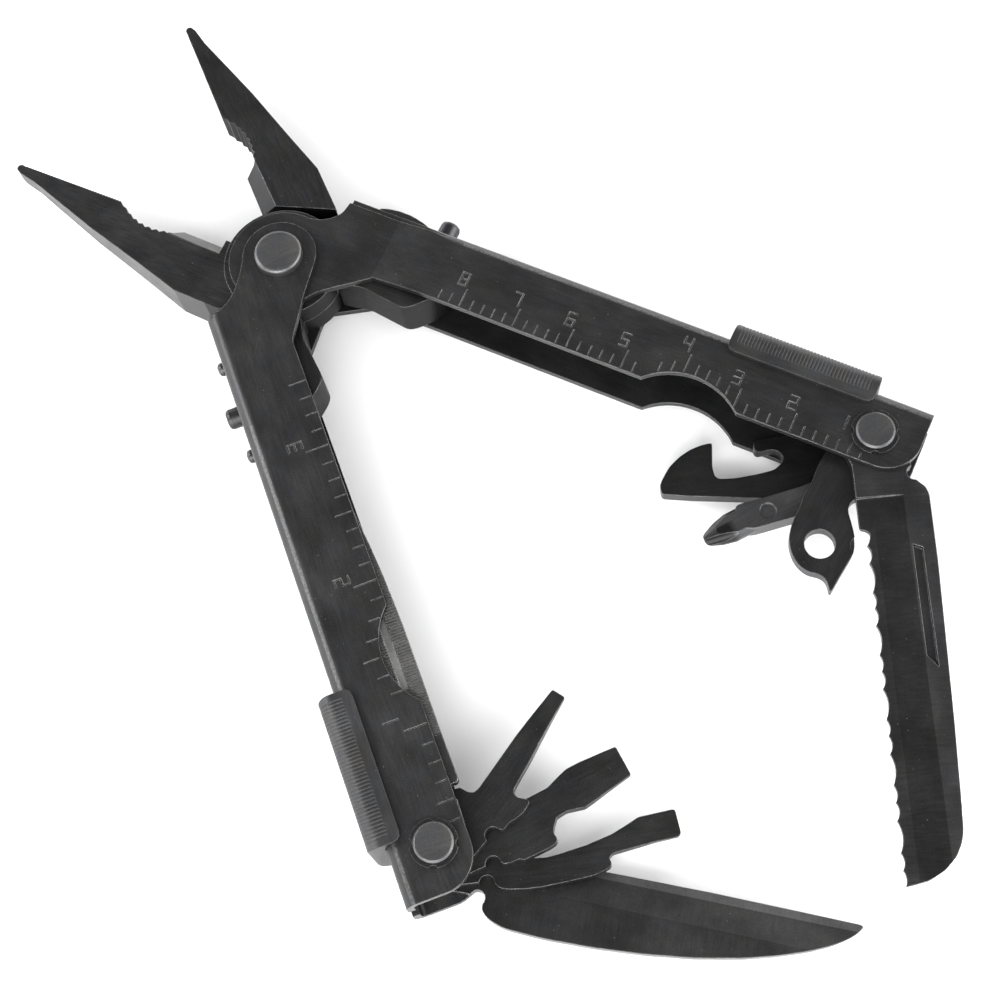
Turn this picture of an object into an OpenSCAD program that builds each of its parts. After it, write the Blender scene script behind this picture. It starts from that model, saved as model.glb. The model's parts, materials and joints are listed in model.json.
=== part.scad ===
// Folding multi tool with needle nose pliers, shown open with its tools fanned out.
// Frame: millimetres, X to the right, Y away, Z up. The tool lies on its side on the plane Z = 0.
// The axis of the pliers pivot is X = 0, Y = 0. All hinge axes are along Z.
// Each handle has its own frame: x along its back, y towards its back, z = 0 at mid thickness.

/* [Handles] */
// distance along the handle from the pliers pivot to the tool pivot
tool_pivot_x = 106.2; // [104:0.1:108]
// offset of the tool pivot towards the back of the handle
tool_pivot_y = 8.2; // [8:0.1:8.3]
// outside distance from front wall to back wall
handle_t = 14; // [14:0.1:14.4]
// thickness of the folded sheet
sheet_t = 1.2; // [1.1:0.05:1.2]
// offset of the outer back face of the channel
spine_y = 15.6; // [15.4:0.1:15.8]
// offset of the open edge of the channel
edge_y = 2.8; // [2.6:0.1:3]
// end of the handle beyond the tool pivot
handle_end = 7.7; // [7.4:0.1:8]

/* [Pose] */
// direction of the left handle in the plan view
left_angle = -67.5; // [-70:0.5:-67]
// direction of the right handle in the plan view
right_angle = -22.2; // [-22.2:0.5:-20]

/* [Jaws] */
// length of a jaw from the pivot to its tip
jaw_len = 55.8; // [55:0.1:57]
// thickness of both jaws at the pivot
jaw_t = 8.8; // [8.6:0.1:8.8]
// thickness at the tip
tip_t = 3.2; // [3:0.1:3.6]

/* [Pivots] */
// height of every pivot head above its wall
head_h = 1.5; // [1.4:0.1:1.6]
// radius of the pliers pivot head
main_head_r = 4.2; // [4:0.1:4.4]
// radius of the tool pivot pin
tool_pin_r = 2.5; // [2.4:0.05:2.5]
// radial clearance of a running fit
fit = 0.05; // [0.03:0.01:0.08]

/* [Hidden] */
$fn = 64;
zc = head_h + handle_t / 2;
half = handle_t / 2;
inner = half - sheet_t;
lug_gap = 0.1;
face_z = zc + half;
jaw_h = jaw_t / 2;
lap_gap = 0.1;
// round lug of each jaw in the lap joint, standing proud of the rest by boss
lug_r = 10.3;
boss = 0.05;
rear_x = tool_pivot_x + handle_end;
pin_r = 2.95;
// outer radius of the bends along the back
bend_r = 2.2;
pivot_l = [tool_pivot_x * cos(left_angle) + tool_pivot_y * sin(left_angle),
           tool_pivot_x * sin(left_angle) - tool_pivot_y * cos(left_angle)];
pivot_r = [tool_pivot_x * cos(right_angle) - tool_pivot_y * sin(right_angle),
           tool_pivot_x * sin(right_angle) + tool_pivot_y * cos(right_angle)];
jaw_angle_left = 179.2;
jaw_angle_right = 177.5;
// thumb scallop in the open edge of both walls
scallop_x = 75.7;
scallop_r = 12;
scallop_y = edge_y - 8.5;
scallop_w = sqrt(scallop_r * scallop_r - 8.5 * 8.5);
// places of the release button and its two studs along the handle
button_x = 23.3;
button_r = 1.8;
stud_x = [13.6, 31.2];
// start of the lock slot in the back
slot_x = 84;
// gap between the back and the lock saddle that slides on it
saddle_gap = 0.08;
// zero of both engraved scales
scale_x = rear_x - 0.5;
// joggle of the stepped wall: start, length and rise
joggle_x = 16.4;
joggle_len = 12;
joggle_rise = sheet_t + lug_gap;

// outline with its corners eased off by a short curve that starts r before each corner
function rounded(points, r) = let (n = len(points)) [
    for (i = [0 : n - 1])
        let (p = points[i], a = points[(i + n - 1) % n] - p, b = points[(i + 1) % n] - p,
             u = p + a * min(r / norm(a), 0.45), v = p + b * min(r / norm(b), 0.45))
        for (t = [0 : 1 / 3 : 1]) (1 - t) * (1 - t) * u + 2 * t * (1 - t) * p + t * t * v];

// ---- placing ----

module in_left() {
    translate([0, 0, zc]) rotate([0, 0, left_angle]) rotate([180, 0, 0]) children();
}

module in_right() {
    translate([0, 0, zc]) rotate([0, 0, right_angle]) children();
}

// a tool on the left pivot: depth of its front face below the front wall, its thickness, its direction
module tool_left(depth, thick, dir) {
    translate([pivot_l[0], pivot_l[1], face_z - depth - thick]) rotate([0, 0, dir]) children();
}

module tool_right(depth, thick, dir) {
    translate([pivot_r[0], pivot_r[1], face_z - depth - thick]) rotate([0, 0, dir]) children();
}

// a solid standing on the back of the channel, its local z pointing out of the back
module on_spine(x, y) {
    translate([x, y, 0]) rotate([-90, 0, 0]) children();
}

// ---- handles ----

// section in y and z, twice half_w wide, with its two corners at y = back rounded
module rounded_section(back, half_w, r) {
    translate([-12, -half_w]) square([back + 12 - r, 2 * half_w]);
    translate([-12, r - half_w]) square([back + 12, 2 * (half_w - r)]);
    for (s = [-1, 1]) translate([back - r, s * (half_w - r)]) circle(r);
}

// a section in y and z, extruded along x
module along_x(x0, x1) {
    translate([x0, 0, 0]) rotate([90, 0, 90]) linear_extrude(x1 - x0) children();
}

module channel_body(x0, x1) {
    along_x(x0, x1) difference() {
        rounded_section(spine_y, half, bend_r);
        translate([-1, 0]) rounded_section(spine_y - sheet_t + 1, inner, bend_r - sheet_t);
    }
}

// side outline of the long part of a wall, from the lug neck to the rounded end
module wall_outline(x0) {
    difference() {
        union() {
            translate([x0, edge_y]) square([rear_x - 6 - x0, spine_y - edge_y]);
            translate([rear_x - 7, edge_y + 6]) square([7, spine_y - edge_y - 6]);
            translate([rear_x - 6, edge_y + 6]) circle(6);
        }
        translate([scallop_x, scallop_y]) circle(scallop_r);
    }
}

// lug and neck of the outer, flat wall
module flat_lug() {
    circle(6.5);
    polygon(rounded([
        [-2, 6.1], [0.6, 7.4], [3.7, 9.4], [5.4, 11.2], [6.4, 13.2], [6.8, spine_y], [20, spine_y],
        [20, edge_y], [16.4, edge_y], [8.8, -1.8], [3.5, -5.5], [0, 0]], 0.9));
}

// lug and neck of the inner, stepped wall
module stepped_lug() {
    circle(9.2);
    polygon(rounded([
        [0.5, 9.1], [2.8, 9.4], [4.8, 10.6], [6.1, 12.2], [6.4, 14], [6.8, spine_y + 1],
        [19, spine_y + 1], [19, edge_y], [16.7, edge_y], [9.2, -3], [6.2, -6.8], [0, 0]], 0.9));
}

module ruler_digit(n) {
    s = 0.22;
    w = 1.5;
    h = 2.6;
    on = [[1,1,1,0,1,1,1], [0,0,1,0,0,1,0], [1,0,1,1,1,0,1], [1,0,1,1,0,1,1], [0,1,1,1,0,1,0],
          [1,1,0,1,0,1,1], [1,1,0,1,1,1,1], [1,0,1,0,0,1,0], [1,1,1,1,1,1,1]][n];
    if (on[0] == 1) translate([-w / 2, h - s]) square([w, s]);
    if (on[1] == 1) translate([-w / 2, h / 2]) square([s, h / 2]);
    if (on[2] == 1) translate([w / 2 - s, h / 2]) square([s, h / 2]);
    if (on[3] == 1) translate([-w / 2, h / 2 - s / 2]) square([w, s]);
    if (on[4] == 1) translate([-w / 2, 0]) square([s, h / 2]);
    if (on[5] == 1) translate([w / 2 - s, 0]) square([s, h / 2]);
    if (on[6] == 1) translate([-w / 2, 0]) square([w, s]);
}

// height of the open edge at x, counting the thumb scallop
function edge_at(x) = abs(x - scallop_x) < scallop_w ?
    scallop_y + sqrt(scallop_r * scallop_r - (x - scallop_x) * (x - scallop_x)) : edge_y;

// centimetre scale counted from the end of the handle
module cm_ruler() {
    for (n = [1 : 8]) {
        x = scale_x - 10 * n;
        translate([x - 0.07, edge_at(x) + 0.3]) square([0.14, 3.4]);
        translate([x - (n == 1 ? 2.7 : 1.3), edge_at(x) + 4]) ruler_digit(n);
    }
    for (n = [4 : 42]) {
        x = scale_x - 2 * n;
        if (n % 5 != 0 && abs(abs(x - scallop_x) - scallop_w) > 1)
            translate([x - 0.06, edge_at(x) + 0.3]) square([0.12, 1.8]);
    }
}

// inch scale, mirrored so that it reads right from outside
module inch_ruler() {
    for (n = [1 : 3]) {
        x = scale_x - 25.4 * n;
        translate([x - 0.07, edge_at(x) + 0.3]) square([0.14, 3.8]);
        translate([x - 1.6, edge_at(x) + 4.3]) scale([-1, 1]) ruler_digit(n);
    }
    for (n = [3 : 28]) {
        x = scale_x - 3.175 * n;
        if (n % 8 != 0 && abs(abs(x - scallop_x) - scallop_w) > 1)
            translate([x - 0.06, edge_at(x) + 0.3]) square([0.12, n % 4 == 0 ? 2.8 : 1.8]);
    }
}

// height of the outer face of the joggle, t from 0 to 1 along it
function joggle_z(t) = inner - lug_gap + joggle_rise * sin(90 * t);

// side view of the joggle, lowered by d, with its underside depth below it
module joggle_profile(d, depth) {
    top = [for (i = [0 : 10]) [joggle_x + joggle_len * i / 10, joggle_z(i / 10) - d]];
    low = [for (i = [10 : -1 : 0]) [joggle_x + joggle_len * i / 10, joggle_z(i / 10) - d - depth]];
    x1 = joggle_x + joggle_len + 0.6;
    polygon(concat(top, [[x1, half - d], [x1, half - d - depth]], low));
}

// one handle. The flat lug is on the low z side and the stepped lug on the high z side
module handle() {
    difference() {
        union() {
            difference() {
                union() {
                    intersection() {
                        channel_body(6.8, rear_x);
                        translate([0, 0, -half - 1]) linear_extrude(handle_t + 2) wall_outline(17.2);
                    }
                    intersection() {
                        channel_body(6.8, 18);
                        translate([0, edge_y, -half - 1]) cube([18, spine_y, half + inner + 1]);
                    }
                }
                // the long wall starts behind the joggle
                translate([0, spine_y + 1, 0]) rotate([90, 0, 0]) linear_extrude(spine_y + 5)
                    difference() {
                        translate([0, inner - lug_gap - 0.4]) square([joggle_x + joggle_len, 3]);
                        joggle_profile(0.4, 3);
                    }
            }
            // flat lug
            translate([0, 0, -half]) linear_extrude(sheet_t) difference() {
                flat_lug();
                translate([6.8, spine_y - bend_r]) square([20, 5]);
            }
            // stepped wall: lug one sheet lower, then the joggle up to the long wall
            translate([0, 0, inner - sheet_t - lug_gap]) linear_extrude(sheet_t) intersection() {
                stepped_lug();
                translate([-20, -20]) square([joggle_x + 20.1, 20 + spine_y - 1]);
            }
            intersection() {
                translate([0, spine_y - 1, 0]) rotate([90, 0, 0])
                    linear_extrude(spine_y - 1 - edge_y) joggle_profile(0, sheet_t);
                along_x(joggle_x - 1, joggle_x + joggle_len + 2) rounded_section(spine_y, half, bend_r);
            }
        }
        // bores of the pliers pivot and the tool pivot
        translate([0, 0, -half - 1]) cylinder(r = pin_r + fit, h = handle_t + 2);
        translate([tool_pivot_x, tool_pivot_y, -half - 1])
            cylinder(r = tool_pin_r + 0.02, h = handle_t + 2);
        // holes in the back: release button, two studs, slot of the tool lock
        on_spine(button_x, spine_y - 3) cylinder(r = button_r + fit, h = 6);
        for (x = stud_x) on_spine(x, spine_y - 3) cylinder(r = 0.8 + fit, h = 6);
        translate([slot_x, spine_y - 3, -2.5]) cube([rear_x - slot_x + 1, 6, 5]);
    }
}

module left_handle() {
    color("dimgray") in_left() difference() {
        handle();
        translate([0, 0, -half - 1]) linear_extrude(1.15) inch_ruler();
    }
}

module right_handle() {
    color("dimgray") in_right() difference() {
        handle();
        translate([0, 0, half - 0.15]) linear_extrude(1) cm_ruler();
    }
}

// ---- jaws ----

// fine teeth, pitch 0.6, from the hollow to the tip
fine_teeth = [for (i = [0 : 34]) each [[33.6 + 0.6 * i, 0.05], [33.9 + 0.6 * i, 0.18]]];
// hollow for round stock, an arc of radius 12 and depth 2.8
function hollow(x) = sqrt(144 - (x - 25.5) * (x - 25.5)) - 9.2;
hollow_teeth = [for (i = [0 : 7]) let (x = 21.4 + 1.5 * i)
                each [[x, hollow(x)], [x + 0.75, hollow(x + 0.75) + 0.38]]];

// plan outline of one jaw, x towards the tip, y away from the other jaw
module jaw_outline() {
    polygon(concat(
        [[6, 0.05], [21.1, 0.05]],
        hollow_teeth,
        fine_teeth,
        [[jaw_len - 0.6, 0.05], [jaw_len - 0.1, 0.3], [jaw_len + 0.1, 0.8], [jaw_len - 0.1, 1.3],
         [54.6, 1.8], [51, 2.5], [43.3, 4.8], [36.2, 6.9], [24, 10], [16.2, 12.1], [15.2, 12.35],
         [6.2, 12.5], [-1, 9.6]]));
}

// side taper: full thickness at the pivot, thin at the tip
module jaw_taper() {
    h = jaw_h - boss;
    rotate([90, 0, 0]) translate([0, 0, -40]) linear_extrude(60)
        polygon([
            [-30, -h], [9, -h], [13, 0.08 - h], [18, 0.3 - h], [24, 0.66 - h], [jaw_len + 1, -tip_t / 2],
            [jaw_len + 1, tip_t / 2], [24, h - 0.66], [18, h - 0.3], [13, h - 0.08], [9, h], [-30, h]]);
}

// bevels of the wire cutter beside the pivot
module cutter_bevel() {
    for (s = [-1, 1]) translate([11.3, 0, 0]) rotate([90, 0, 90]) linear_extrude(10.6)
        polygon([[-3, s * 0.2], [-0.05, s * 0.2], [3.6, s * (jaw_h + 1)], [-3, s * (jaw_h + 1)]]);
}

// tang that fills the head end of the channel, in the frame of the handle
module tang_outline() {
    polygon(rounded([
        [6, 0.2], [9.4, -0.1], [15.7, 1.0], [20.9, 0.4], [23.6, 0.1], [25, 1.0], [27.4, 3.7],
        [28.6, 6.2], [28.6, 11], [26.4, 13.6], [14.4, 13.6], [12, 10.8], [9.8, 7.6], [6, 6]], 0.8));
}

// one jaw in the frame of its handle, the lap lug on the high z side
module jaw(angle) {
    difference() {
        union() {
            intersection() {
                rotate([0, 0, angle]) translate([0, 0, -20]) linear_extrude(40) jaw_outline();
                rotate([0, 0, angle]) jaw_taper();
            }
            translate([0, 0, -jaw_h + boss]) linear_extrude(jaw_t - 2 * boss) tang_outline();
            translate([0, 0, -jaw_h]) cylinder(r = lug_r, h = jaw_t);
        }
        // room for the lug of the other jaw, ending at a straight shoulder
        translate([0, 0, -jaw_h - 1]) linear_extrude(jaw_h + 1 + lap_gap / 2) union() {
            circle(lug_r + 0.4);
            rotate([0, 0, angle + 28.9]) translate([4, -14]) square([lug_r - 3.2, 28]);
        }
        rotate([0, 0, angle]) cutter_bevel();
        translate([0, 0, -jaw_h - 1]) cylinder(r = pin_r + fit, h = jaw_t + 2);
        // pocket for the stem of the release button
        on_spine(button_x, 8.6) cylinder(r = 3.2, h = 8);
    }
}

module jaw_left() {
    color("gray") in_right() jaw(jaw_angle_left);
}

module jaw_right() {
    color("gray") in_left() jaw(jaw_angle_right);
}

// ---- pliers pivot ----

module plier_pin() {
    color("silver") translate([0, 0, zc - jaw_h + 0.1]) cylinder(r = pin_r, h = jaw_t - 0.2);
}

// rivet head with a bevelled rim, standing on z = 0, shank below
module rivet(shank) {
    rotate_extrude() polygon([
        [0, -shank], [pin_r, -shank], [pin_r, 0], [main_head_r, 0], [main_head_r, head_h - 0.6],
        [main_head_r - 0.1, head_h - 0.3], [main_head_r - 0.3, head_h - 0.1], [main_head_r - 0.6, head_h],
        [0, head_h]]);
}

module front_rivet() {
    color("silver") translate([0, 0, face_z]) rivet(2 * sheet_t + lug_gap);
}

module back_rivet() {
    color("silver") translate([0, 0, head_h]) mirror([0, 0, 1]) rivet(2 * sheet_t + lug_gap);
}

// ---- release buttons and studs on the backs ----

// release button standing out of the back by rise
module button(rise) {
    on_spine(button_x, 0) translate([0, 0, spine_y]) rotate_extrude()
        polygon([
            [0, -4.5], [1.6, -4.5], [1.6, -3.2], [2.7, -3.2], [2.7, -1.6], [button_r, -1.6],
            [button_r, rise - 0.75], [1.65, rise - 0.35], [1.3, rise - 0.1], [0, rise]]);
}

module release_button_left() {
    color("dimgray") in_left() button(2.65);
}

module release_button_right() {
    color("dimgray") in_right() button(4.4);
}

// two stud rivets each side of the button
module studs() {
    for (x = stud_x) on_spine(x, 0) translate([0, 0, spine_y]) rotate_extrude()
        polygon([
            [0, -1.3], [0.8, -1.3], [0.8, 0], [1.2, 0], [1.2, 0.7], [1.05, 1.1], [0.6, 1.35], [0, 1.4]]);
}

module spring_studs_left() {
    color("gray") in_left() studs();
}

module spring_studs_right() {
    color("gray") in_right() studs();
}

// bowed leaf lying along the back in front of the button
module spring_clip_right() {
    color("gray") in_right() translate([0, spine_y, 2.4]) linear_extrude(2.4)
        polygon(rounded([
            [11.6, 0], [21.1, 0], [21.1, 0.3], [19.5, 0.8], [17.2, 1.2], [15, 1.2], [13, 0.9],
            [11.6, 0.4]], 0.5));
}

// ---- tool locks ----

// saddle over the back with fine cross grooves, smooth lips on both walls
module saddle() {
    x0 = 78.4;
    len = 25.6;
    top = 18.4;
    corner = 2.5;
    wide = half + 1.05;
    groove = 0.1;
    groove_w = 0.26;
    pitch = 0.6;
    grooves = 39;
    first = x0 + (len - pitch * (grooves - 1) - groove_w) / 2;
    difference() {
        intersection() {
            along_x(x0, x0 + len) rounded_section(top, wide, corner);
            translate([0, 0, -half - 2]) linear_extrude(handle_t + 4) polygon(rounded([
                [x0, 12.6], [x0, top - 0.4], [x0 + 1, top + 0.6], [x0 + len - 1, top + 0.6],
                [x0 + len, top - 0.4], [x0 + len, 12.6]], 1.4));
        }
        for (i = [0 : grooves - 1]) along_x(first + pitch * i, first + pitch * i + groove_w) difference() {
            translate([14.4, -half - 2]) square([6, handle_t + 4]);
            rounded_section(top - groove, wide - groove, corner - groove);
        }
        // room for the channel, with its rounded bends
        along_x(x0 - 1, x0 + len + 1)
            rounded_section(spine_y + saddle_gap, half + saddle_gap, bend_r + saddle_gap);
    }
}

module tool_lock_left() {
    color("dimgray") in_left() saddle();
}

module tool_lock_right() {
    color("dimgray") in_right() saddle();
}

// bar of the lock, sliding in the slot of the back and touching the underside of the saddle
module lock_bar() {
    translate([slot_x + 2, spine_y - sheet_t + 0.1, -2.42])
        cube([21.2, sheet_t + saddle_gap - 0.1, 4.84]);
}

module lock_bar_left() {
    color("gray") in_left() lock_bar();
}

module lock_bar_right() {
    color("gray") in_right() lock_bar();
}

// ---- tool pivots ----

module tool_pivot() {
    translate([0, 0, -half]) cylinder(r = tool_pin_r, h = handle_t);
    for (s = [0, 1]) mirror([0, 0, s]) translate([0, 0, half]) rotate_extrude()
        polygon([
            [0, 0], [tool_pin_r, 0], [tool_pin_r, 0.8], [3.1, 0.8], [3.2, 0.95],
            [3.2, head_h - 0.3], [2.9, head_h], [0, head_h]]);
}

module tool_pivot_left() {
    color("silver") in_left() translate([tool_pivot_x, tool_pivot_y, 0]) tool_pivot();
}

module tool_pivot_right() {
    color("silver") in_right() translate([tool_pivot_x, tool_pivot_y, 0]) tool_pivot();
}

// notched washer under each pivot head
module lock_washers() {
    for (s = [0, 1]) mirror([0, 0, s]) translate([0, 0, half]) difference() {
        cylinder(r = 3.9, h = 0.75);
        translate([0, 0, -1]) cylinder(r = tool_pin_r + 0.01, h = 3);
        for (a = [20 : 90 : 290]) rotate([0, 0, a]) translate([4.2, 0, -1]) cylinder(r = 0.75, h = 3);
    }
}

module lock_washers_left() {
    color("silver") in_left() translate([tool_pivot_x, tool_pivot_y, 0]) lock_washers();
}

module lock_washers_right() {
    color("silver") in_right() translate([tool_pivot_x, tool_pivot_y, 0]) lock_washers();
}

// ---- tools ----

// plate of a tool: outline, round tang, pivot bore and lock notch. side = -1 or 1 for the notch side
module plate(thick, side) {
    difference() {
        linear_extrude(thick) union() {
            children();
            circle(5.4);
        }
        translate([0, 0, -1]) cylinder(r = tool_pin_r + fit, h = thick + 2);
        translate([6.8, side * 5.75, -1]) cylinder(r = 1.25, h = thick + 2);
    }
}

// wedge taken off both faces towards x1, where the thickness is t1
module tip_taper(thick, x0, x1, t1) {
    for (s = [0, 1]) translate([0, 0, s * thick]) mirror([0, 0, s])
        rotate([90, 0, 0]) translate([0, 0, -20])
        linear_extrude(40) polygon([
            [x0, 0], [x1 + 1, (thick - t1) / 2 * (x1 + 1 - x0) / (x1 - x0)], [x1 + 1, -1], [x0, -1]]);
}

// long file with cut teeth across both faces and a smooth guide groove
module file() {
    t = 1.85;
    up = [for (i = [0 : 91]) each [[16.4 + 0.5 * i, t - 0.12], [16.7 + 0.5 * i, t]]];
    dn = [for (i = [91 : -1 : 0]) each [[16.7 + 0.5 * i, 0], [16.4 + 0.5 * i, 0.12]]];
    color("gray") tool_left(1.35, t, 180 + left_angle) difference() {
        plate(t, -1) polygon(rounded([
            [1, -5.4], [7.9, -5.6], [8.1, -6.8], [16, -6.7], [36, -6.7], [44.7, -6.4], [50.6, -6],
            [56.7, -5.4], [60.6, -4.8], [62.4, -3.8], [62.6, -2.8], [61, -1.6], [56, -0.9],
            [48, -0.4], [36, -0.3], [16, -0.3], [10.6, 0.4], [9.6, 1.4], [9.5, 3], [6, 4.9],
            [2, 5.2]], 0.8));
        difference() {
            translate([16.2, -10, -1]) cube([60, 20, t + 2]);
            rotate([90, 0, 0]) translate([0, 0, -20]) linear_extrude(40)
                polygon(concat([[10, 0], [10, t]], up, [[64, t], [64, 0]], dn));
        }
        for (s = [0, 1]) translate([0, 0, s * t]) mirror([0, 0, s])
            translate([25, -4.2, -1]) cube([34, 1.2, 1.22]);
    }
}

module small_driver() {
    t = 1.95;
    color("gray") tool_left(3.45, t, 54.4) difference() {
        plate(t, -1) polygon(rounded([
            [1, -5.4], [7.9, -5.6], [8.4, -6.6], [9.8, -6.6], [11.1, -7.1], [12.5, -7.4],
            [14.3, -7.2], [14.5, -6.7], [14, -5.8], [13.7, -5.1], [13.9, -4.3], [14.7, -3.9],
            [19.6, -3.2], [23.2, -2.5], [27.6, -1.8], [31, -1.3], [30.8, 1.1], [21.2, 1],
            [11.2, 0.5], [10.2, 0.7], [9.7, 1.5], [9.5, 3], [6, 4.9], [2, 5.2]], 0.35));
        tip_taper(t, 24.5, 30.5, 0.8);
    }
}

module large_driver() {
    t = 2.2;
    color("gray") tool_left(5.75, t, 27.7) difference() {
        plate(t, -1) polygon(rounded([
            [1, -5.4], [7.8, -5.6], [8.3, -6.5], [9.8, -6.8], [10.8, -6.8], [11.4, -7.3],
            [15.9, -7.3], [17.1, -7.1], [17.5, -6.5], [17.3, -5.5], [17.8, -4.7], [18.8, -3.5],
            [20.5, -3.3], [23.5, -4], [24.9, -3.8], [28.7, -3.1], [32.3, -2.5], [32.1, 2.6],
            [29.8, 2.7], [25.8, 2.8], [23.5, 2.7], [21.6, 2.1], [19.5, 1.3], [16, 1.2], [10.6, 1.2],
            [9.8, 1.8], [9.5, 3], [6, 4.9], [2, 5.2]], 0.35));
        tip_taper(t, 23.5, 31.8, 1);
    }
}

module medium_driver() {
    t = 2;
    color("gray") tool_left(8.05, t, 9.3) difference() {
        plate(t, -1) polygon(rounded([
            [1, -5.4], [7.8, -5.5], [8.2, -6.2], [8.8, -6.8], [10, -7.1], [12.7, -7.4],
            [15.4, -7.4], [19.5, -7.1], [23.6, -6.7], [25.4, -6.1], [26.3, -5.7], [26.5, -5.1],
            [26.2, -4.4], [26.8, -3.7], [29.6, -3.3], [33.8, -2.7], [37.4, -2.4], [37.9, -1.9],
            [37.5, 1.8], [37.1, 2], [34.4, 1.7], [31.6, 1.4], [30.2, 0.7], [27.2, -0.7],
            [22.9, -1.9], [18.7, -2.7], [16.5, -3], [12, -2.6], [10, -1], [9.6, 0.4], [9.5, 3],
            [6, 4.9], [2, 5.2]], 0.35));
        tip_taper(t, 30.5, 37.3, 0.85);
    }
}

// grind taken off both faces beyond a line through [x0, y0], turned by a, towards the edge
module grind(thick, x0, y0, a, side, slope, len) {
    for (s = [0, 1]) translate([0, 0, s * thick]) mirror([0, 0, s])
        translate([x0, y0, 0]) rotate([0, 0, a]) rotate([90, 0, 90]) linear_extrude(len)
        polygon([[0, 0], [side * 20, 20 * slope], [side * 20, -2], [0, -2]]);
}

module knife_blade() {
    t = 2.3;
    color("gray") tool_left(10.2, t, -7.4) difference() {
        plate(t, -1) polygon(rounded([
            [1, -5.4], [6, -5.3], [7.9, -6.1], [7.7, -7.4], [9, -8.7], [11.7, -9.7], [18.1, -10.2],
            [26, -10.3], [33.7, -10], [41.4, -9.3], [48.9, -8.1], [53.8, -6.9], [58.3, -5.5],
            [62.1, -3.9], [65, -2.1], [66.8, -0.1], [42.5, 1.1], [30, 1.5], [16, 1.9], [12.5, 1.9],
            [11.6, 1.6], [10.4, 1.6], [9.7, 2.1], [9.5, 3], [6, 4.9], [2, 5.2]], 1.2));
        // main grind, then the narrow sharpened bevel
        grind(t, 13.5, -3.2, -2.7, 1, 0.16, 70);
        grind(t, 14, 0.9, -2.5, 1, 0.62, 70);
    }
}

module serrated_blade() {
    t = 1.95;
    color("gray") tool_right(1.35, t, -84.8) difference() {
        plate(t, 1) polygon(rounded([
            [2, -5.2], [4, -4.4], [5, -4.1], [15.7, -4.1], [16, -3.1], [16.6, -2.4], [18.2, -2.9],
            [18.5, -3.2], [72.7, -4.1], [72.5, -2.7], [71.9, -0.1], [70.5, 2.4], [68.7, 4.2],
            [66.8, 5.2], [65, 5.7], [60.2, 6], [48, 6.6], [34, 7.1], [22.1, 7.5], [10.8, 7.6],
            [9.4, 7.2], [8.5, 6.2], [7.6, 5.4], [5.6, 5.3], [1, 5.4]], 0.5));
        // one wide and two narrow scallops, repeated along the edge, which slopes by 1 in 60
        for (i = [0 : 5]) translate([9.6 + 10.3 * i, -3.2 + (9 - 10.3 * i) / 60, -1]) {
            if (i > 0) translate([4, -4.7, 0]) cylinder(r = 5.3, h = 5);
            if (i > 0) translate([7.8, -2, 0]) cylinder(r = 2.4, h = 5);
            translate([10.4, -2, 0]) cylinder(r = 2.4, h = 5);
        }
        // wide grind with a crisp shoulder, then the bevel over the scallops
        grind(t, 10.5, 3.5, 0, -1, 0.085, 70);
        grind(t, 15.7, -1.6, 0, -1, 0.24, 70);
        // long thumb nick in the flat below the back
        translate([19, 3.7, t - 0.9]) linear_extrude(2)
            polygon([[0, 0.2], [18.4, 0.1], [20.4, 1.7], [0.6, 1.7]]);
    }
}

module can_opener() {
    t = 2.2;
    color("gray") tool_right(3.5, t, -116.2) difference() {
        plate(t, 1) polygon(rounded([
            [2, -5.3], [5, -5.9], [7, -6.1], [9, -6], [11, -5.7], [13.8, -5.9], [15.8, -5.6],
            [17.8, -5.6], [20.1, -5.3], [22, -4.6], [23.8, -3.2], [24.9, -1.5], [25.3, 0.4],
            [24.8, 2.1], [25, 3.2], [25.6, 4], [26.7, 4.8], [26.5, 5.1], [23.5, 5.2], [20.2, 5.4],
            [18.6, 5.4], [17.4, 5], [15.8, 4], [14.1, 2.6], [12.8, 1.5], [11.5, 1.3], [10.4, 1.7],
            [9.6, 3], [8.8, 5.2], [7.8, 5.5], [5.6, 5.3], [1, 5.4]], 0.9));
        // lanyard hole
        translate([20.1, 0, -1]) cylinder(r = 2.5, h = t + 2);
        // hollow edge of the can opener
        translate([17, 6.2, t - 0.9]) rotate([0, 18, 0]) cylinder(r = 1.9, h = 4);
    }
}

module phillips_driver() {
    t = 3.7;
    color("gray") tool_right(6.1, t, -150.5) difference() {
        union() {
            plate(t, 1) polygon(rounded([
                [2, -5.2], [5, -3.4], [7.5, -0.8], [10, 0.9], [13.6, 0.5], [16.8, -0.1],
                [20.8, -0.9], [23.6, -1.6], [24.8, -1.6], [25.4, -0.3], [25.4, 2.4], [24, 3.2],
                [22.2, 3.6], [17.1, 4.6], [12, 5.3], [8.2, 5.6], [7.8, 5.3], [5.6, 5.3], [1, 5.4]], 0.8));
            intersection() {
                translate([23.6, 0.8, t / 2]) rotate([0, 90, 0]) rotate_extrude()
                    polygon([[0, 0], [2.5, 0], [2.5, 3.4], [2, 5.6], [1.2, 7.6], [0.8, 8.1], [0, 8.2]]);
                translate([20, -5, 0]) cube([15, 12, t]);
            }
        }
        // four flutes of the cross point
        for (a = [45 : 90 : 315]) translate([23.6, 0.8, t / 2]) rotate([a, 0, 0])
            translate([3.2, 0, 3.4]) rotate([0, 112, 0]) translate([0, 0, -3]) cylinder(r = 0.95, h = 12);
        // round dimple on the flat
        translate([20.4, 1.6, t - 0.3]) cylinder(r = 1.35, h = 1);
    }
}

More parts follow.
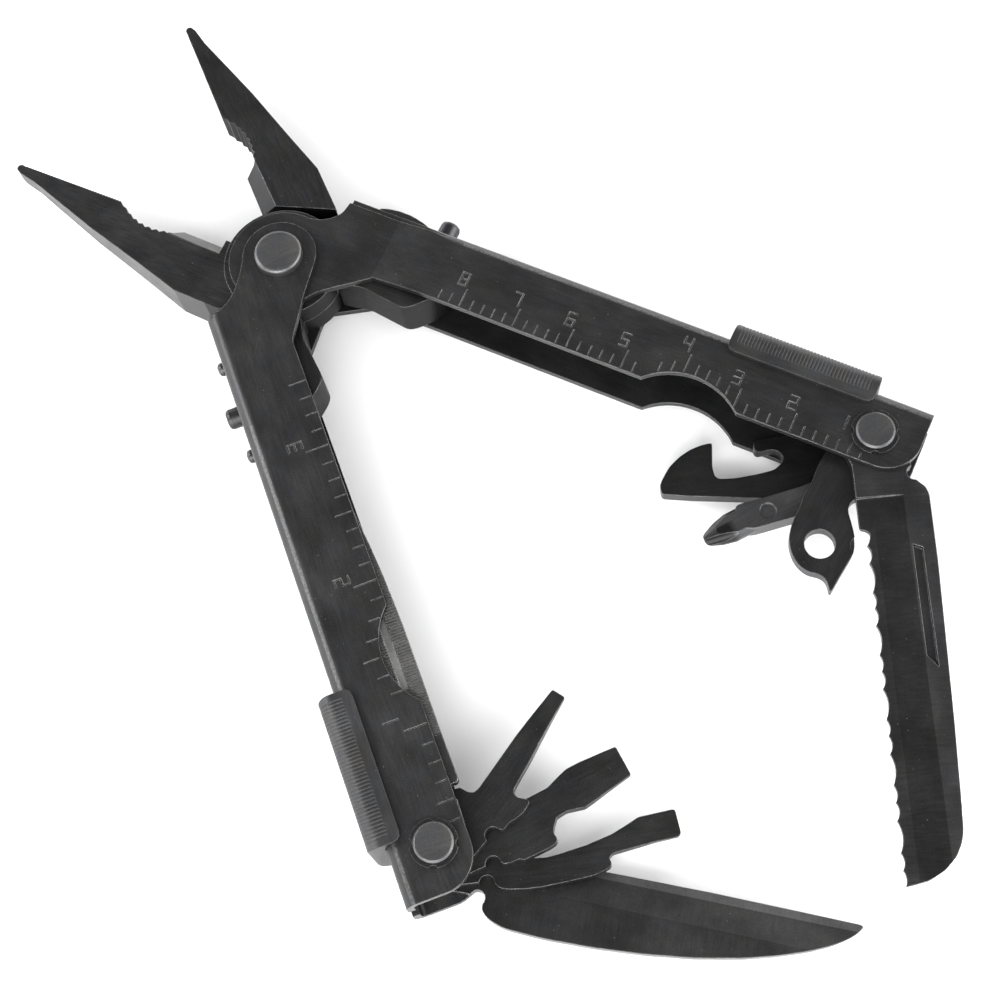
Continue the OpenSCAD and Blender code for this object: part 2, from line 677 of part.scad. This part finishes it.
module bottle_opener() {
    t = 2.4;
    color("gray") tool_right(10.1, t, -169.6) plate(t, 1)
        polygon(rounded([
            [2, -5.2], [6, -5], [9.4, -5.4], [11, -5.8], [15, -6], [18.4, -5.8], [18.6, -4.6],
            [18.2, -3.8], [15.6, -3.9], [14.5, -3.4], [13.9, -2.3], [14.3, -1.2], [15.9, -0.2],
            [18.7, 0.1], [22.5, 0.2], [25.2, -0.1], [25.9, -0.7], [26, -2.5], [25.3, -6.5],
            [25.5, -6.8], [27.1, -6.7], [29.1, -6.2], [31.3, -5.1], [33.1, -3.7], [34.5, -1.9],
            [35.3, -0.6], [35.2, 1], [30.6, 2.1], [24.6, 3.3], [18.5, 4.5], [12, 5.6], [8.3, 5.9],
            [7.8, 5.4], [5.6, 5.3], [1, 5.4]], 0.6));
}

// ---- one line per node ----

left_handle();
right_handle();
jaw_left();
jaw_right();
plier_pin();
front_rivet();
back_rivet();
release_button_left();
release_button_right();
spring_studs_left();
spring_studs_right();
spring_clip_right();
tool_lock_left();
tool_lock_right();
lock_bar_left();
lock_bar_right();
tool_pivot_left();
tool_pivot_right();
lock_washers_left();
lock_washers_right();
file();
small_driver();
large_driver();
medium_driver();
knife_blade();
serrated_blade();
can_opener();
phillips_driver();
bottle_opener();
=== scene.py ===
"""Looks of the folding multi tool: materials, floor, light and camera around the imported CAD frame.

Everything is in metres, in the frame of the CAD model: X right, Y away, Z up, the axis of the
pliers pivot at X = 0, Y = 0, and the tool lying on Z = 0. Patterns are laid out in millimetres in
each piece's own frame, so they ride along when a joint moves.
"""

import json
import math

import bpy
from mathutils import Matrix, Vector

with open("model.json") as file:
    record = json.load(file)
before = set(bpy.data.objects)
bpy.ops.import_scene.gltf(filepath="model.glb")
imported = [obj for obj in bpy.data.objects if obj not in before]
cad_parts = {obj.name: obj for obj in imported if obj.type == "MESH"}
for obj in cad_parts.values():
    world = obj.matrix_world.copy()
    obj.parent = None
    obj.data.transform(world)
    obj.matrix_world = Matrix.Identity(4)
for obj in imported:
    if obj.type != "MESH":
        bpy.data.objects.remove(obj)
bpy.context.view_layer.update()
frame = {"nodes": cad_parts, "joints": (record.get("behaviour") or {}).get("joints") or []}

MM = 0.001

# directions of the handles and jaws in the plan view, in degrees
LEFT = -67.5
RIGHT = -22.2
JAW_LEFT = RIGHT + 179.2
JAW_RIGHT = LEFT - 177.5

# places on the pieces, in millimetres
WALL_FACE = 7.0  # front wall face of a handle, above its mid thickness
ENGRAVING_TOP = 0.05  # the engraving lies between these two depths below that face
ENGRAVING_FLOOR = 0.3
SCALE_START = 29.0  # distance from the pliers pivot past which the wall is flat and engraved
TANG_END = 9.0  # a jaw's tang and lug lie nearer to the pivot than this
CUTTER_START = 11.2  # the wire cutter of a jaw, along it and in from its meeting face
CUTTER_END = 21.95
CUTTER_DEPTH = 2.95
GRIP_END = 35.0  # the hollow grip begins where the cutter ends
GRIP_DEPTH = 3.2
FILE_GROOVE_Y = -3.6
FILE_GROOVE_START = 25.0
FILE_GROOVE_END = 59.0


def pivot_of(joint_name):
    """A point on the axis of a hinge, in metres."""
    joint = next(j for j in frame["joints"] if j["name"] == joint_name)
    return Vector(joint["pos_m"])


MAIN_PIVOT = pivot_of("handle_pivot")
LEFT_PIVOT = pivot_of("file_hinge")
RIGHT_PIVOT = pivot_of("serrated_blade_hinge")


# ---- node graphs ----


class Graph:
    """A material's node tree, with short calls for the nodes used here."""

    def __init__(self, name):
        self.material = bpy.data.materials.new(name)
        self.material.use_nodes = True
        self.tree = self.material.node_tree
        self.tree.nodes.clear()
        self.out = self.tree.nodes.new("ShaderNodeOutputMaterial")

    def node(self, kind, settings=None, **inputs):
        made = self.tree.nodes.new(kind)
        for key, value in (settings or {}).items():
            setattr(made, key, value)
        for key, value in inputs.items():
            self.feed(made.inputs[key.replace("_", " ")], value)
        return made

    def feed(self, socket, value):
        if isinstance(value, bpy.types.NodeSocket):
            self.tree.links.new(value, socket)
        else:
            socket.default_value = value

    def math(self, operation, a, b=0.0, clamp=False):
        made = self.tree.nodes.new("ShaderNodeMath")
        made.operation = operation
        made.use_clamp = clamp
        self.feed(made.inputs[0], a)
        self.feed(made.inputs[1], b)
        return made.outputs[0]

    def ramp(self, value, low, high, to_low=0.0, to_high=1.0):
        """value mapped from low..high to to_low..to_high, clamped."""
        made = self.node("ShaderNodeMapRange", {"clamp": True}, Value=value)
        for name, number in (("From Min", low), ("From Max", high),
                             ("To Min", to_low), ("To Max", to_high)):
            made.inputs[name].default_value = number
        return made.outputs[0]

    def mix(self, factor, a, b):
        """Colours a and b mixed by factor."""
        made = self.tree.nodes.new("ShaderNodeMix")
        made.data_type = "RGBA"
        self.feed(made.inputs["Factor"], factor)
        self.feed(made.inputs["A"], a)
        self.feed(made.inputs["B"], b)
        return made.outputs["Result"]

    def local(self, origin, angle):
        """Coordinates in millimetres in a frame at origin, x along angle in the plan view."""
        place = self.node("ShaderNodeMapping", {"vector_type": "TEXTURE"},
                          Vector=self.node("ShaderNodeTexCoord").outputs["Object"])
        place.inputs["Location"].default_value = origin
        place.inputs["Rotation"].default_value = (0, 0, math.radians(angle))
        place.inputs["Scale"].default_value = (MM, MM, MM)
        return place.outputs[0]

    def noise(self, vector, stretch, detail=2.0, roughness=0.55, turn=0.0):
        """Noise whose cells are 1 / stretch millimetres along each local axis."""
        place = self.node("ShaderNodeMapping", Vector=vector)
        place.inputs["Rotation"].default_value = (0, 0, math.radians(turn))
        scaled = self.node("ShaderNodeMapping", Vector=place.outputs[0])
        scaled.inputs["Scale"].default_value = stretch
        made = self.node("ShaderNodeTexNoise", Vector=scaled.outputs[0], Scale=1.0,
                         Detail=detail, Roughness=roughness)
        return made.outputs["Fac"]

    def axes(self, vector):
        split = self.node("ShaderNodeSeparateXYZ", Vector=vector)
        return split.outputs["X"], split.outputs["Y"], split.outputs["Z"]


def grey(value, warm=0.0):
    """A near neutral colour, warm from -1, slightly violet, to 1, slightly brown."""
    return (value * (1 + 0.05 * warm), value * (1 - 0.02 * abs(warm)), value * (1 - 0.09 * warm), 1)


# the light grey of rubbed edges, which also stands in for a painted highlight along them
BARE_EDGE_AND_HIGHLIGHT = grey(0.34, 0.3)  # metal at a rubbed edge
DUST = grey(0.3)
SCRATCH = grey(0.14)
EDGE_RADIUS = 0.22 * MM
GRIND_HEIGHT = 0.012 * MM


def steel(name, origin, angle, tone, rough, brush_turn=0.0, brush=0.5, edge_wear_and_highlight=0.45, marks=()):
    """Blackened steel with brushing, mottled grain, soft cloudy patches, scratches, and worn edges painted
    light as rubbed metal and as painted highlight.

    tone is its grey and rough its roughness. brush says how much the brushing shows, brush_turn how
    many degrees it is turned from the piece's own x, and edge_wear_and_highlight how bright its edges are
    painted, as rubbed metal and as painted highlight. marks are functions (graph, x, y, z) giving (mask,
    tone, roughness) for ground faces, engraving, teeth, and painted shade on faces in the dark and on the
    Phillips tip, where x, y, z are millimetres in the piece's own frame.
    """
    g = Graph(name)
    mm = g.local(origin, angle)

    # patterns, from long brushing lines and fine grain to soft patches, hairlines and dust
    lines = g.noise(mm, (0.22, 3.4, 3.4), 4.0, 0.6, brush_turn)
    grain = g.noise(mm, (4.6, 4.6, 4.6), 3.0, 0.7)
    cloud = g.noise(mm, (0.11, 0.16, 0.16), 3.0, 0.55)
    tint = g.noise(mm, (0.3, 0.3, 0.3), 2.0)
    hair = g.ramp(g.noise(mm, (0.07, 5.5, 5.5), 2.0, 0.5, brush_turn + 31), 0.69, 0.78)
    hair = g.math("MULTIPLY", hair, g.ramp(cloud, 0.45, 0.62))
    speck = g.ramp(g.noise(mm, (2.6, 2.6, 2.6), 1.0, 0.4), 0.78, 0.82)

    # shade: how much lighter or darker than its tone each place is
    shade = g.math("MULTIPLY_ADD", lines, brush)
    shade.node.inputs[2].default_value = 1 - brush / 2
    shade = g.math("MULTIPLY", shade, g.ramp(grain, 0.3, 0.7, 0.82, 1.2))
    shade = g.math("MULTIPLY", shade, g.ramp(cloud, 0.3, 0.7, 0.84, 1.18))

    # colour and roughness, first of the plain steel, then of each mark
    colour = g.mix(g.ramp(tint, 0.35, 0.65), grey(tone, -0.5), grey(tone, 0.35))
    rough_now = g.ramp(g.math("ADD", cloud, lines), 0.7, 1.3, rough - 0.07, rough + 0.07)
    x, y, z = g.axes(mm)
    for mark in marks:
        mask, mark_tone, mark_rough = mark(g, x, y, z)
        colour = g.mix(mask, colour, grey(mark_tone, 0.1))
        rough_now = g.math("ADD", rough_now, g.math("MULTIPLY", mask, mark_rough - rough))
    scaled = g.node("ShaderNodeVectorMath", {"operation": "SCALE"})
    g.feed(scaled.inputs[0], colour)
    g.feed(scaled.inputs["Scale"], shade)
    colour = scaled.outputs[0]

    # worn edges, painted light as rubbed metal and as painted highlight: none where the rounded normal is
    # within 10 degrees of the true one, full past 33
    bevel = g.node("ShaderNodeBevel", {"samples": 4}, Radius=EDGE_RADIUS).outputs[0]
    apart = g.node("ShaderNodeVectorMath", {"operation": "DOT_PRODUCT"})
    g.feed(apart.inputs[0], bevel)
    g.feed(apart.inputs[1], g.node("ShaderNodeNewGeometry").outputs["Normal"])
    edge = g.ramp(apart.outputs["Value"], 0.985, 0.84)
    patch = g.ramp(g.noise(mm, (0.9, 0.9, 0.9), 3.0, 0.65), 0.36, 0.62, 0.25, 1.0)
    edge = g.math("MULTIPLY", g.math("MULTIPLY", edge, patch), edge_wear_and_highlight, clamp=True)
    colour = g.mix(g.math("MULTIPLY", hair, 0.3), colour, SCRATCH)
    colour = g.mix(g.math("MULTIPLY", speck, 0.6), colour, DUST)
    colour = g.mix(edge, colour, BARE_EDGE_AND_HIGHLIGHT)
    rough_now = g.math("SUBTRACT", rough_now, g.math("MULTIPLY", edge, 0.12))

    # relief of the brushing and the grain
    height = g.math("ADD", g.math("MULTIPLY", lines, 0.6), g.math("MULTIPLY", grain, 0.5))
    bump = g.node("ShaderNodeBump", Strength=0.35, Distance=GRIND_HEIGHT, Height=height, Normal=bevel)
    shader = g.node("ShaderNodeBsdfPrincipled", Metallic=0.9, Roughness=rough_now,
                    Normal=bump.outputs[0])
    g.feed(shader.inputs["Base Color"], colour)
    g.feed(g.out.inputs["Surface"], shader.outputs[0])
    return g.material


# ---- marks: where a piece is ground, engraved or toothed, and where shade is painted ----


def engraving(g, x, y, z):
    """The floors of the engraved ticks and numerals, just below the front wall face, half rubbed off."""
    below = g.math("LESS_THAN", z, WALL_FACE - ENGRAVING_TOP)
    above = g.math("GREATER_THAN", z, WALL_FACE - ENGRAVING_FLOOR)
    past_joggle = g.math("GREATER_THAN", x, SCALE_START)
    place = g.node("ShaderNodeCombineXYZ", X=x, Y=y, Z=z).outputs[0]
    left_over = g.ramp(g.noise(place, (2.2, 2.2, 2.2), 2.0), 0.38, 0.58, 0.25, 1.0)
    mask = g.math("MULTIPLY", g.math("MULTIPLY", below, above), past_joggle)
    return g.math("MULTIPLY", mask, left_over), 0.105, 0.5


def beyond_line(line_x, line_y, slope_deg, side, tone, rough, soft=0.12):
    """Everything past a straight line, on the side y grows (1) or falls (-1): ground zones of the blades,
    and painted shade on the Phillips tip.
    """
    def mark(g, x, y, z):
        run = g.math("MULTIPLY", g.math("SUBTRACT", x, line_x), math.tan(math.radians(slope_deg)))
        depth = g.math("MULTIPLY", g.math("SUBTRACT", y, g.math("ADD", run, line_y)), side)
        started = g.ramp(x, line_x, line_x + 4 * soft)
        return g.math("MULTIPLY", g.ramp(depth, 0, soft), started), tone, rough
    return mark


def between_x(low, high, tone, rough):
    """A zone across the piece between two distances from its pivot."""
    def mark(g, x, y, z):
        return g.math("MULTIPLY", g.ramp(x, low, low + 0.4), g.ramp(x, high + 0.4, high)), tone, rough
    return mark


def cutter_facets(g, x, y, z):
    """The bright bevels of the wire cutter, beside the pivot."""
    along = g.math("MULTIPLY", g.math("GREATER_THAN", x, CUTTER_START), g.math("LESS_THAN", x, CUTTER_END))
    return g.math("MULTIPLY", along, g.math("LESS_THAN", y, CUTTER_DEPTH)), 0.075, 0.38


def painted_shade_sides(grip_side):
    """Painted shade: upright faces in the dark, the tang between the walls and the hollow of the grip,
    painted near black.

    grip_side is 1 where the grip faces the -y side of the jaw's own frame, and -1 where it faces +y.
    """
    def mark(g, x, y, z):
        normal = g.node("ShaderNodeNewGeometry").outputs["Normal"]
        upright = g.math("LESS_THAN", g.math("ABSOLUTE", g.axes(normal)[2]), 0.6)
        tang = g.math("LESS_THAN", x, TANG_END)
        depth = g.math("MULTIPLY", y, grip_side)
        grip = g.math("MULTIPLY", g.math("GREATER_THAN", x, CUTTER_END), g.math("LESS_THAN", x, GRIP_END))
        grip = g.math("MULTIPLY", grip, g.math("LESS_THAN", depth, GRIP_DEPTH))
        return g.math("MULTIPLY", upright, g.math("MAXIMUM", tang, grip)), 0.016, 0.5
    return mark


def file_groove(g, x, y, z):
    """The smooth ground floor of the groove along the file."""
    across = g.ramp(g.math("ABSOLUTE", g.math("SUBTRACT", y, FILE_GROOVE_Y)), 0.62, 0.55)
    started = g.ramp(x, FILE_GROOVE_START - 0.1, FILE_GROOVE_START + 0.1)
    along = g.math("MULTIPLY", started, g.ramp(x, FILE_GROOVE_END + 0.1, FILE_GROOVE_END - 0.1))
    return g.math("MULTIPLY", across, along), 0.3, 0.36


# ---- one material per piece ----

# node: a point on its axis, the direction of its own x in the plan view in degrees, and its looks
PIECES = {
    "left_handle": (MAIN_PIVOT, LEFT, dict(tone=0.050, rough=0.40, brush=0.35, marks=[engraving])),
    "right_handle": (MAIN_PIVOT, RIGHT, dict(tone=0.048, rough=0.40, brush=0.35, marks=[engraving])),
    "jaw_left": (MAIN_PIVOT, JAW_LEFT, dict(tone=0.046, rough=0.36, brush=0.8, marks=[
        cutter_facets, painted_shade_sides(1)])),
    "jaw_right": (MAIN_PIVOT, JAW_RIGHT, dict(tone=0.040, rough=0.36, brush=0.8, marks=[
        painted_shade_sides(-1)])),
    "plier_pin": (MAIN_PIVOT, 0, dict(tone=0.30, rough=0.3)),
    "front_rivet": (MAIN_PIVOT, 20, dict(tone=0.125, rough=0.42, brush=0.2)),
    "back_rivet": (MAIN_PIVOT, 70, dict(tone=0.120, rough=0.42, brush=0.2)),
    "release_button_left": (MAIN_PIVOT, LEFT, dict(tone=0.05, rough=0.38)),
    "release_button_right": (MAIN_PIVOT, RIGHT, dict(tone=0.06, rough=0.36)),
    "spring_studs_left": (MAIN_PIVOT, LEFT, dict(tone=0.06, rough=0.35)),
    "spring_studs_right": (MAIN_PIVOT, RIGHT, dict(tone=0.06, rough=0.35)),
    "spring_clip_right": (MAIN_PIVOT, RIGHT, dict(tone=0.06, rough=0.35)),
    "tool_lock_left": (MAIN_PIVOT, LEFT, dict(tone=0.066, rough=0.46, brush=0.3, edge_wear_and_highlight=0.04)),
    "tool_lock_right": (MAIN_PIVOT, RIGHT, dict(tone=0.062, rough=0.46, brush=0.3, edge_wear_and_highlight=0.04)),
    "lock_bar_left": (MAIN_PIVOT, LEFT, dict(tone=0.05, rough=0.38)),
    "lock_bar_right": (MAIN_PIVOT, RIGHT, dict(tone=0.05, rough=0.38)),
    "tool_pivot_left": (LEFT_PIVOT, 15, dict(tone=0.115, rough=0.42, brush=0.2)),
    "tool_pivot_right": (RIGHT_PIVOT, 40, dict(tone=0.110, rough=0.42, brush=0.2)),
    "lock_washers_left": (LEFT_PIVOT, 15, dict(tone=0.045, rough=0.4, edge_wear_and_highlight=0.15)),
    "lock_washers_right": (RIGHT_PIVOT, 40, dict(tone=0.045, rough=0.4, edge_wear_and_highlight=0.15)),
    "file": (LEFT_PIVOT, 180 + LEFT, dict(tone=0.06, rough=0.42, brush_turn=90, edge_wear_and_highlight=0.9, marks=[
        between_x(16, 62, 0.055, 0.5), file_groove])),
    "small_driver": (LEFT_PIVOT, 54.4, dict(tone=0.036, rough=0.38)),
    "large_driver": (LEFT_PIVOT, 27.7, dict(tone=0.038, rough=0.38)),
    "medium_driver": (LEFT_PIVOT, 9.3, dict(tone=0.036, rough=0.38)),
    "knife_blade": (LEFT_PIVOT, -7.4, dict(tone=0.049, rough=0.34, brush_turn=90, brush=0.2, marks=[
        beyond_line(13.5, -3.2, -2.7, 1, 0.066, 0.38), beyond_line(14, 0.9, -2.5, 1, 0.15, 0.3)])),
    "serrated_blade": (RIGHT_PIVOT, -84.8, dict(tone=0.060, rough=0.36, brush_turn=90, brush=0.3, marks=[
        beyond_line(10.5, 3.5, 0, -1, 0.036, 0.36), beyond_line(15.7, -1.6, 0, -1, 0.05, 0.34)])),
    "can_opener": (RIGHT_PIVOT, -116.2, dict(tone=0.036, rough=0.38)),
    # the Phillips tip is painted near black on one side of its axis: painted shade in its flutes
    "phillips_driver": (RIGHT_PIVOT, -150.5, dict(tone=0.092, rough=0.36, marks=[
        beyond_line(26.2, 0.1, 0, 1, 0.022, 0.4, 0.3)])),
    "bottle_opener": (RIGHT_PIVOT, -169.6, dict(tone=0.034, rough=0.36)),
}


def dress_nodes():
    """Gives every CAD node its own blackened steel."""
    for node, (origin, angle, looks) in PIECES.items():
        material = steel(f"{node}_steel", origin, angle, **looks)
        for slot in frame["nodes"][node].material_slots:
            slot.material = material


# ---- stage ----

FLOOR_HALF = 0.9  # the paper ends where its light does, so that it runs into the white of the world
LIGHT_TARGET = Vector((0.04, -0.05, 0))
CAMERA_PLACE = (0.06793, -0.1474, 0.29005)
CAMERA_AZIMUTH = 14.9  # degrees to the right of the front
CAMERA_ELEVATION = 68.9  # degrees above the floor
CAMERA_ROLL = 13.2
CAMERA_LENS = 64.8


def floor_material():
    """Smooth white paper, with the faintest fibre in its roughness and bump."""
    g = Graph("white_paper")
    mm = g.local((0, 0, 0), 0)
    fibre = g.noise(mm, (1.2, 1.2, 1.2), 4.0, 0.7)
    bump = g.node("ShaderNodeBump", Strength=0.05, Distance=0.02 * MM, Height=fibre)
    shader = g.node("ShaderNodeBsdfPrincipled", Roughness=g.ramp(fibre, 0.3, 0.7, 0.85, 0.95),
                    Normal=bump.outputs[0])
    shader.inputs["Base Color"].default_value = (0.93, 0.93, 0.93, 1)
    shader.inputs["Specular IOR Level"].default_value = 0.1
    g.feed(g.out.inputs["Surface"], shader.outputs[0])
    return g.material


def make_floor():
    """A flat sheet of paper under the tool."""
    half = FLOOR_HALF
    mesh = bpy.data.meshes.new("floor")
    corners = [(-half, -half, 0), (half, -half, 0), (half, half, 0), (-half, half, 0)]
    mesh.from_pydata(corners, [], [(0, 1, 2, 3)])
    floor = bpy.data.objects.new("floor", mesh)
    mesh.materials.append(floor_material())
    bpy.context.scene.collection.objects.link(floor)


def make_world():
    """A light tent around the tool.

    It is white at the horizon, so that upright faces catch light, and dim overhead, where faces that
    lie flat mirror it.
    """
    world = bpy.data.worlds.new("tent")
    bpy.context.scene.world = world
    world.use_nodes = True
    tree = world.node_tree
    background = tree.nodes["Background"]
    coord = tree.nodes.new("ShaderNodeTexCoord")
    split = tree.nodes.new("ShaderNodeSeparateXYZ")
    height = tree.nodes.new("ShaderNodeMapRange")
    height.interpolation_type = "SMOOTHSTEP"
    for key, number in (("From Min", 0.05), ("From Max", 0.6), ("To Min", 3.8), ("To Max", 0.34)):
        height.inputs[key].default_value = number
    tree.links.new(coord.outputs["Generated"], split.inputs[0])
    tree.links.new(split.outputs["Z"], height.inputs["Value"])
    tree.links.new(height.outputs[0], background.inputs["Strength"])
    background.inputs["Color"].default_value = (1, 1, 1, 1)


def make_light(name, place, size, power):
    """A round soft light of a given diameter and power in watts, aimed at the middle of the tool."""
    data = bpy.data.lights.new(name, "AREA")
    data.shape = "DISK"
    data.size = size
    data.energy = power
    lamp = bpy.data.objects.new(name, data)
    lamp.location = place
    lamp.rotation_mode = "QUATERNION"
    lamp.rotation_quaternion = (LIGHT_TARGET - Vector(place)).to_track_quat("-Z", "Y")
    bpy.context.scene.collection.objects.link(lamp)


def make_camera():
    """Looks down steeply from the front right, tilted so that the tool fills the square."""
    azimuth = math.radians(CAMERA_AZIMUTH)
    elevation = math.radians(CAMERA_ELEVATION)
    roll = math.radians(CAMERA_ROLL)
    back = Vector((math.sin(azimuth) * math.cos(elevation),
                   -math.cos(azimuth) * math.cos(elevation), math.sin(elevation)))
    level = Vector((math.cos(azimuth), math.sin(azimuth), 0))
    up = back.cross(level)
    right = level * math.cos(roll) - up * math.sin(roll)
    up = back.cross(right)
    data = bpy.data.cameras.new("camera")
    data.sensor_width = 36
    data.lens = CAMERA_LENS
    data.clip_start = 0.01
    camera = bpy.data.objects.new("camera", data)
    turn = Matrix((right, up, back)).transposed().to_4x4()
    camera.matrix_world = Matrix.Translation(CAMERA_PLACE) @ turn
    bpy.context.scene.collection.objects.link(camera)
    bpy.context.scene.camera = camera


dress_nodes()
make_floor()
make_world()
make_light("front", (-0.15, -1.05, 0.85), 1.3, 27)
make_light("side", (1.0, -0.2, 0.65), 1.0, 13)
make_light("bend", (-1.0, 0.1, 0.8), 0.5, 8)
make_camera()
bpy.context.scene.view_settings.view_transform = "Standard"
